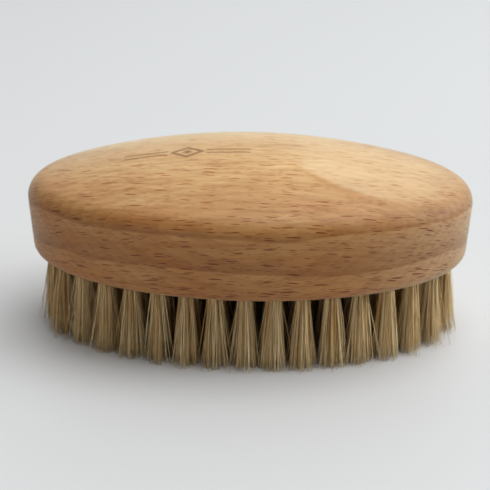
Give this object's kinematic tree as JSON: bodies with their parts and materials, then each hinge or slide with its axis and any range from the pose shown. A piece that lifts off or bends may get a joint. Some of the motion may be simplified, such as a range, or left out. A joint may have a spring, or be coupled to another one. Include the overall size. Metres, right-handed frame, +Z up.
{
  "type": "beard brush",
  "caption": "Palm-held oval beard brush: a domed one-piece beech stock drilled from below and filled with dense bristle tufts held by wire anchors.",
  "frame": {"origin": "under the middle of the stock, in the plane of the bristle tips that the brush rests on", "axes": "+X along the stock's length, +Y across its width, +Z up from the bristle tips to the domed back"},
  "size_m": [0.1098, 0.06, 0.0468],
  "materials": {
    "beech": "fine sanded, thin satin oil finish",
    "bristle": "natural bristle, soft sheen",
    "anchor_wire": "bright drawn flat wire"
  },
  "bodies": {
    "root": {"beech_stock": "beech", "tufts_outer_oval": "bristle", "tufts_second_oval": "bristle", "tufts_third_oval": "bristle", "tufts_centre_row": "bristle", "anchors_outer_oval": "anchor_wire", "anchors_second_oval": "anchor_wire", "anchors_third_oval": "anchor_wire", "anchors_centre_row": "anchor_wire"}
  },
  "joints": []
}
